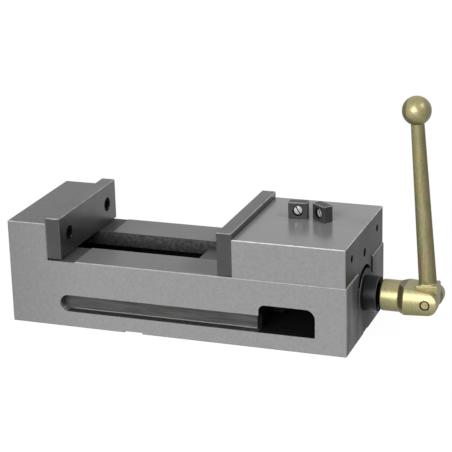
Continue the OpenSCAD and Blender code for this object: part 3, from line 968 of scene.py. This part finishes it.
@dataclass
class LeadScrew(Part):
    """Lead screw: trapezoidal thread, flange for the bearing, journal and hexagon end."""

    thread_x: float = -181.0
    flange_x: float = 148.0
    flange_end_x: float = 160.0
    hex_x: float = 212.8
    hex_end_x: float = 241.8
    thread_r: float = 14.0
    thread_d: float = 2.75
    edge: float = 0.7
    pitch: float = 5.0
    flange_r: float = 22.0
    journal_r: float = 12.5
    flats: float = 19.0

    def build(self) -> None:
        """Builds the screw."""
        root = self.thread_r - self.thread_d
        start = self.thread_x
        edge = self.edge
        profile = [
            (start, root - 2.0), (start + 1.6, root),
            (self.flange_x - 6, root), (self.flange_x - 4, self.thread_r - 0.1),
            (self.flange_x, self.thread_r - 0.1), (self.flange_x, self.flange_r - edge),
            (self.flange_x + edge, self.flange_r), (self.flange_end_x - edge, self.flange_r),
            (self.flange_end_x, self.flange_r - edge), (self.flange_end_x, self.journal_r),
            (self.hex_x - edge, self.journal_r), (self.hex_x, self.journal_r - edge),
        ]
        shaft = turned("shaft", [(x - start, radius) for x, radius in profile], 72)
        low, high = self.hex_x - start, self.hex_end_x - start
        drive = hexagon("drive", self.flats, low - 2, high)
        wide = self.flats * 0.6
        guard = turned("guard", [(low - 3, wide), (high - 1.2, wide), (high, self.flats * 0.5)])
        combine(drive, [guard], "INTERSECT")
        thread = ridge(
            "thread", root - 0.2, self.thread_r, self.pitch, 3.5, self.flange_x - 4.5 - start, 32
        )
        piece = join([shaft, drive, thread], "lead_screw_detail")
        self.on_screw(piece, start)
        self.dress(piece, "screw_steel", Body.SCREW, "lead_screw")
        # Painted shade: past the flange, the journal and hexagon, which sit in the dark gap
        # between collar and hub, take the matt black.
        end = (self.flange_end_x + 1) * MM
        self.touch_up(piece, "matt_black_and_shade", lambda f: f.calc_center_median().x > end)


@dataclass
class Collar(Part):
    """Black collar outside the end wall, with a hole for its set screw."""

    low_x: float = 200.8
    high_x: float = 216.0
    radius: float = 20.0
    rim: float = 0.6
    bore: float = 12.5
    screw_r: float = 3.0

    def build(self) -> None:
        """Builds the collar."""
        width = self.high_x - self.low_x
        lip = self.radius - 2.5 * self.rim
        piece = turned(
            "screw_collar_detail",
            [
                (0, self.radius - self.rim), (self.rim, self.radius),
                (width - self.rim, self.radius), (width, self.radius - self.rim),
            ],
            LARGE,
        )
        recess = turned(
            "recess", [(width - 2, lip - 2.5), (width - 0.5, lip - 0.5), (width + 0.5, lip)], LARGE
        )
        bore = rod("bore", self.bore, -1, width + 1, LARGE)
        hole = rod("hole", self.screw_r + 0.05, 0, 30, 32)
        place(hole, (0, 0, width / 2), Axis.X)
        combine(piece, [recess, bore, hole], "DIFFERENCE")
        self.on_screw(piece, self.low_x)
        self.dress(piece, "black_steel", Body.SCREW, "screw_collar")
        # Painted highlight: the rim's chamfers take the lighter nut steel, partly a bare worn rim.
        # Painted shade: the faces that look along X and the mouth take the matt black.
        self.touch_up(piece, "nut_steel", lambda f: 0.6 < f.normal.x < 0.8)
        self.touch_up(piece, "matt_black_and_shade", lambda f: f.normal.x > 0.8 or self.in_mouth(f))

    def in_mouth(self, face: Face) -> bool:
        """Says whether a face lies at the outer end and inside its rim."""
        x, y, z = face.calc_center_median() / MM
        lip = self.radius - 2.5 * self.rim
        return x > self.high_x - self.rim - 0.1 and math.hypot(y, z - SCREW_Z) < lip


@dataclass
class Hub(Part):
    """Plated hub of the handle: a round band, a flare, and a fork with tapered flats."""

    back_x: float = 219.8
    fork_x: float = 240.2
    shoulder_x: float = 247.4
    slot_x: float = 257.74
    band_r: float = 17.75
    fork_r: float = 22.5
    fork_half_h: float = 16.5
    nose_r: float = 13.6
    pin_r: float = 4.5
    slot_w: float = 20.8
    flats: float = 19.1
    socket_l: float = 22.5
    sink_r: float = 5.6
    sink_d: float = 4.0

    def build(self) -> None:
        """Builds the hub and its pin."""
        long = PIVOT_X + self.nose_r - self.back_x
        fork = self.fork_x - self.back_x
        shoulder = self.shoulder_x - self.back_x
        piece = turned(
            "handle_hub_detail",
            [
                (0, self.band_r - 0.9), (0.9, self.band_r), (fork, self.band_r),
                (shoulder, self.fork_r), (long - 1.5, self.fork_r), (long, self.fork_r - 1.0),
            ],
            LARGE,
        )
        self.on_screw(piece, self.back_x)
        combine(piece, [self.keeper()], "INTERSECT")
        cast_skin(piece, voxel=0.4, passes=3)
        slot = block(
            "slot",
            (self.slot_x, -self.slot_w / 2, SCREW_Z - REACH),
            (PIVOT_X + REACH, self.slot_w / 2, SCREW_Z + REACH),
        )
        socket = hexagon("socket", self.flats, -1, self.socket_l)
        self.on_screw(socket, self.back_x)
        sink = self.fork_r - self.sink_d
        half = [
            (sink, self.pin_r - 0.1), (sink, self.sink_r - 0.3), (self.fork_r + 2, self.sink_r)
        ]
        eye = turned("eye", both_ends(half))
        self.on_screw(eye, PIVOT_X, Axis.Y)
        combine(piece, [slot, socket, eye], "DIFFERENCE")
        self.dress(piece, "yellow_zinc", Body.HANDLE, "handle_hub", angle=40)
        # Painted shade: the sink round the pin takes the matt black.
        self.touch_up(piece, "matt_black_and_shade", self.in_sink)
        self.pin()

    def in_sink(self, face: Face) -> bool:
        """Says whether a face lines the sink round the pin."""
        x, y, z = face.calc_center_median() / MM
        near = math.hypot(x - PIVOT_X, z - SCREW_Z) < self.sink_r + 0.1
        return near and abs(y) > self.fork_r - self.sink_d - 0.5

    def wedge(self, low_x: float, low_h: float, high_x: float, high_h: float) -> Piece:
        """A wide block along X whose half height changes from one end to the other."""
        piece = block("wedge", (low_x, -REACH, SCREW_Z - low_h), (high_x, REACH, SCREW_Z + low_h))
        with editing(piece):
            pick(piece, "VERT", lambda v: v.co.x > (low_x + high_x) / 2 * MM)
            bpy.ops.transform.resize(
                value=(1, 1, high_h / low_h), center_override=(high_x * MM, 0, SCREW_Z * MM)
            )
        return piece

    def keeper(self) -> Piece:
        """Models what the fork keeps of the turned hub: tapered flats and a round nose."""
        keeper = self.wedge(self.back_x - 5, self.fork_r + 5, self.fork_x, self.fork_r + 5)
        flats = self.wedge(self.fork_x - 0.01, self.fork_half_h, PIVOT_X, self.nose_r)
        nose = rod("nose", self.nose_r, -REACH, REACH, LARGE)
        self.on_screw(nose, PIVOT_X, Axis.Y)
        combine(keeper, [flats, nose], "UNION")
        return keeper

    def pin(self) -> None:
        """Builds the pin, with chamfered ends."""
        end, radius = self.fork_r - 0.45, self.pin_r
        half = [(end - 4, radius), (end - 0.4, radius - 0.1), (end, radius - 0.4)]
        piece = turned("pivot_pin_detail", both_ends(half))
        self.on_screw(piece, PIVOT_X, Axis.Y)
        self.dress(piece, "yellow_zinc", Body.HANDLE, "pivot_pin")


@dataclass
class Lever(Part):
    """Folding lever with its ball. It is made upright on its pin, then leant towards the vise."""

    lean: float = 4.4
    head_l: float = 24.0
    head_t: float = 20.2
    head_h: float = 18.7
    shank_r: float = 10.0
    neck_r: float = 7.4
    pin_r: float = 4.55
    ball_z: float = 213.7
    ball_r: float = 16.0
    ledge: float = 1.0

    def stand(self, piece: Piece) -> None:
        """Puts a piece that was made upright on the leaning lever's place."""
        self.on_screw(piece, PIVOT_X, spun(-self.lean, "Y"))

    def build(self) -> None:
        """Builds the lever and its ball."""
        half_l = self.head_l / 2
        half_t = self.head_t / 2
        seat = self.ball_z - math.sqrt(self.ball_r**2 - self.neck_r**2)
        piece = block("handle_lever_detail", (-half_l, -half_t, 0), (half_l, half_t, self.head_h))
        with editing(piece):
            pick(piece, "VERT", lambda v: v.co.z > half_l * MM)
            bpy.ops.mesh.bevel(offset=self.ledge * MM, segments=1, affect="EDGES")
        foot = rod("foot", half_l, -half_t, half_t, LARGE)
        place(foot, (0, 0, 0), Axis.Y)
        flare = turned(
            "flare",
            [
                (self.head_h - 1, 11.0), (self.head_h, 10.9), (self.head_h + 0.5, 10.4),
                (self.head_h + 1.4, 10.1), (self.head_h + 3, 9.9), (self.head_h + 4.5, 9.85),
            ],
            LARGE,
        )
        flat = half_t - self.ledge
        sides = block("sides", (-REACH, -flat, -REACH), (REACH, flat, REACH))
        combine(flare, [sides], "INTERSECT")
        shank = turned(
            "shank",
            [
                (self.head_h - 3, self.shank_r - 0.8), (self.head_h, self.shank_r - 0.8),
                (self.head_h + 5, self.shank_r - 0.15), (seat + 1, self.neck_r),
            ],
            LARGE,
        )
        combine(piece, [foot, flare, shank], "UNION")
        cast_skin(piece, voxel=0.4, passes=2)
        eye = rod("eye", self.pin_r, -REACH, REACH)
        place(eye, (0, 0, 0), Axis.Y)
        combine(piece, [eye], "DIFFERENCE")
        self.stand(piece)
        self.dress(piece, "yellow_zinc", Body.LEVER, "handle_lever", angle=40)
        self.ball(seat)

    def ball(self, seat: float) -> None:
        """Builds the ball, with a short flat where the lever enters it.

        Args:
            seat: Height of the flat above the pin.
        """
        steps = 40
        low = math.acos((self.ball_z - seat) / self.ball_r)
        tip = math.pi / 2 - math.acos(0.05)
        profile = [(seat, self.neck_r - 0.9), (seat + 0.02, self.neck_r)]
        for step in range(1, steps + 1):
            angle = low + (math.pi - low - tip) * step / steps
            profile.append(
                (self.ball_z - self.ball_r * math.cos(angle), self.ball_r * math.sin(angle))
            )
        piece = turned("lever_ball_detail", profile, LARGE)
        self.stand(piece)
        self.dress(piece, "yellow_zinc", Body.LEVER, "lever_ball", angle=40)


@dataclass(frozen=True)
class KeyPlace:
    """Where one locating key stands on the jaw: its place in millimetres and its turn."""

    name: str
    x: float
    y: float
    turn: float


@dataclass
class LocatingKeys(Part):
    """The two loose locating keys with their slotted screws."""

    length: float = 22.0
    thick: float = 12.0
    high: float = 19.0
    bore_r: float = 6.0
    bore_d: float = 6.0
    hole_r: float = 3.5
    head_r: float = 5.0
    head_h: float = 4.0
    shank_r: float = 3.0
    slot: float = 1.2
    slot_d: float = 2.2
    slot_turn: float = 60.0
    top: float = 123.2
    spots: tuple[KeyPlace, ...] = (
        KeyPlace("locating_key_a", 118.1, 14.6, 7.5),
        KeyPlace("locating_key_b", 147.0, 11.4, -37.7),
    )

    def local(self, face: Face, spot: KeyPlace) -> Vector:
        """Is a face's place from a key's middle, along the key's own axes, in millimetres."""
        foot = Vector((spot.x, spot.y, self.top + self.high / 2)) * MM
        return spun(-spot.turn, "Z") @ (face.calc_center_median() - foot) / MM

    def in_bore(self, face: Face, spot: KeyPlace) -> bool:
        """Says whether a face of a placed key lines its hole or its counterbore."""
        x, y, z = self.local(face, spot)
        return abs(y) <= self.thick / 2 - 0.05 and math.hypot(x, z) < self.bore_r + 0.1

    def in_slot(self, face: Face) -> bool:
        """Says whether a face of the placed screws lies in a slot."""
        across = math.radians(90 - self.slot_turn)
        for spot in self.spots:
            local = self.local(face, spot)
            off = local.x * math.cos(across) + local.z * math.sin(across)
            if local.length < self.length / 2 and abs(off) < self.slot * 0.52:
                return -self.head_h + 0.05 < local.y < -self.head_h + self.slot_d + 0.05
        return False

    def at(self, piece: Piece, spot: KeyPlace) -> None:
        """Stands a piece that was made at the origin on its key's place."""
        place(piece, (spot.x, spot.y, self.top), spun(spot.turn, "Z"))

    def key(self) -> Piece:
        """Models one key, with broken edges and a counterbored hole."""
        long, deep = self.length / 2, self.thick / 2
        piece = block("key", (-long, -deep, 0), (long, deep, self.high))
        modify(
            piece, "BEVEL", width=0.6 * MM, segments=1, limit_method="ANGLE",
            angle_limit=math.radians(35),
        )
        bore = rod("bore", self.bore_r, -self.bore_d, 1.0)
        place(bore, (0, -self.thick / 2, self.high / 2), Axis.BACK_Y)
        hole = rod("hole", self.hole_r, -self.thick, self.thick, 48)
        place(hole, (0, 0, self.high / 2), Axis.BACK_Y)
        combine(piece, [bore, hole], "DIFFERENCE")
        return piece

    def screw(self) -> Piece:
        """Models one cheese head screw, its head's face along -Y."""
        piece = turned(
            "screw",
            [
                (-self.thick, 2.0), (-self.thick + 0.6, 2.5), (0, 2.5), (0, self.head_r - 0.2),
                (0.2, self.head_r), (self.head_h - 0.7, self.head_r),
                (self.head_h - 0.2, self.head_r - 0.25), (self.head_h, self.head_r - 0.8),
            ],
        )
        slot = block(
            "slot",
            (-self.head_r - 1, -self.slot / 2, self.head_h - self.slot_d),
            (self.head_r + 1, self.slot / 2, self.head_h + 1),
        )
        place(slot, (0, 0, 0), spun(-self.slot_turn, "Z"))
        combine(piece, [slot], "DIFFERENCE")
        thread = ridge("thread", 2.4, self.shank_r, 1.0, -self.thick + 1.0, -1.0)
        piece = join([piece, thread], "screw")
        place(piece, (0, self.bore_d - self.thick / 2, self.high / 2), Axis.BACK_Y)
        return piece

    def build(self) -> None:
        """Builds both keys and both screws."""
        key = self.key()
        screw = self.screw()
        screws = [screw, copy_of(screw)]
        for spot, piece in zip(self.spots, (key, copy_of(key))):
            self.at(piece, spot)
            piece.name = spot.name + "_detail"
            self.dress(piece, "key_steel", Body.JAW, spot.name)
            # Painted shade: the bore and counterbore take the matt black.
            self.touch_up(piece, "matt_black_and_shade", lambda f, s=spot: self.in_bore(f, s))
        for spot, piece in zip(self.spots, screws):
            self.at(piece, spot)
        piece = join(screws, "key_screws_detail")
        self.dress(piece, "bright_steel", Body.JAW, "key_screws")
        # Painted shade: the screws' slots take the matt black.
        self.touch_up(piece, "matt_black_and_shade", self.in_slot)


@dataclass
class Studio:
    """Plain pale floor, soft light and the camera."""

    eye: tuple[float, float, float] = (0.638505, -1.652851, 0.702496)
    yaw: float = -20.031
    down: float = 18.604
    roll: float = -1.506
    focal_share: float = 1632.19 / 452
    sensor: float = 36.0
    ambient: float = 0.22
    floor_size: float = 40.0
    floor_grey: float = 0.4
    floor_rough: float = 0.9
    floor_glow: float = 1.14
    floor_share: float = 0.85
    key_level: float = 0.88
    key_spread: float = 40.0
    key_from: tuple[float, float, float] = (-0.18, -0.93, 0.32)
    fill_level: float = 0.28
    fill_spread: float = 16.0
    fill_from: tuple[float, float, float] = (0.68, -0.19, 0.71)

    def camera(self) -> None:
        """Adds the camera at the photograph's angle."""
        yaw, down, roll = (math.radians(a) for a in (self.yaw, self.down, self.roll))
        ahead = Vector((
            math.sin(yaw) * math.cos(down), math.cos(yaw) * math.cos(down), -math.sin(down)
        ))
        right = Vector((math.cos(yaw), -math.sin(yaw), 0))
        up = right.cross(ahead)
        across = math.cos(roll) * right + math.sin(roll) * up
        rise = math.cos(roll) * up - math.sin(roll) * right
        lens = bpy.data.cameras.new("camera")
        lens.sensor_width = self.sensor
        lens.lens = self.focal_share * self.sensor
        lens.clip_end = 100.0
        turn = Matrix((across, rise, -ahead)).transposed().to_4x4()
        view = self.stand("camera", lens, Matrix.Translation(self.eye) @ turn)
        bpy.context.scene.camera = view

    @staticmethod
    def stand(name: str, data: bpy.types.ID, matrix: Matrix) -> Piece:
        """Stands a camera or a lamp in the scene."""
        holder = bpy.data.objects.new(name, data)
        holder.matrix_world = matrix
        bpy.context.scene.collection.objects.link(holder)
        return holder

    def lamp(self, name: str, level: float, spread: float, source: Sequence[float]) -> None:
        """Adds a wide soft lamp, far away.

        Args:
            name: The lamp's name.
            level: Its level, at which 1 shows a colour that faces it as it is written.
            spread: Its width in degrees.
            source: The direction that it shines from.
        """
        light = bpy.data.lights.new(name, "SUN")
        light.energy = level * math.pi
        light.angle = math.radians(spread)
        self.stand(name, light, Vector(source).to_track_quat("Z", "Y").to_matrix().to_4x4())

    def seen(self, g: Graph) -> Socket:
        """Is 1 for rays from the camera, and in gloss and glass."""
        value = 0.0
        for name in ("Is Camera Ray", "Is Glossy Ray", "Is Transmission Ray"):
            value = g.math("MAXIMUM", g.node("LightPath", {}, name), value)
        return value

    def world(self) -> None:
        """Makes the world white to the eye, and a plain soft light for the rest."""
        world = bpy.data.worlds.new("studio")
        g = Graph(world)
        g.set(Color=grey(1.0), Strength=g.spread(self.seen(g), 0.0, 1.0, self.ambient, 1.0))
        bpy.context.scene.world = world

    def floor(self) -> None:
        """Lays a pale floor that fades to white but keeps the vise's shadow."""
        deselect()
        bpy.ops.mesh.primitive_plane_add(size=self.floor_size)
        piece = named("studio_floor")
        material = bpy.data.materials.new("studio_floor")
        g = Graph(material)
        g.set(Base_Color=grey(self.floor_grey), Roughness=self.floor_rough)
        glow = g.node("Emission", {"Strength": self.floor_glow})
        share = g.times(self.seen(g), self.floor_share)
        both = g.node("MixShader", {0: share, 1: g.shader.outputs["BSDF"], 2: glow})
        g.feed(g.nodes["Material Output"].inputs["Surface"], both)
        piece.data.materials.append(material)

    def build(self) -> None:
        """Builds the whole studio."""
        bpy.context.scene.view_settings.view_transform = "Standard"
        self.camera()
        self.world()
        self.floor()
        self.lamp("key_light", self.key_level, self.key_spread, self.key_from)
        self.lamp("fill_light", self.fill_level, self.fill_spread, self.fill_from)


def main() -> None:
    """Builds the studio and every sub-assembly, in order."""
    logging.basicConfig(level=logging.INFO, format="%(name)s %(message)s")
    Studio().build()
    finishes = {finish.name: finish.build() for finish in FINISHES}
    parts = (
        SolidPieces(finishes),
        SocketScrews(finishes, "fixed_plate_screws", -135.5, Axis.X, Body.BASE),
        SocketScrews(finishes, "movable_plate_screws", 53.5, Axis.BACK_X, Body.JAW),
        SetScrew(finishes, "jaw_set_screw", Body.JAW, (113.2, 0.0, 94.0), Axis.X),
        LeadScrew(finishes),
        Collar(finishes),
        SetScrew(
            finishes, "collar_set_screw", Body.SCREW, (208.4, 0.0, 34.9), Axis.BACK_Z,
            length=7.5, radius=3.0, core=2.45, pitch=1.0, foot_edge=(0.7, 0.8), head_edge=0.4,
            thread_ends=(0.8, 0.6), socket=(3.0, 3.0), sides=32,
        ),
        Hub(finishes),
        Lever(finishes),
        LocatingKeys(finishes),
    )
    for part in parts:
        part.build()
    deselect()


if __name__ == "__main__":
    main()
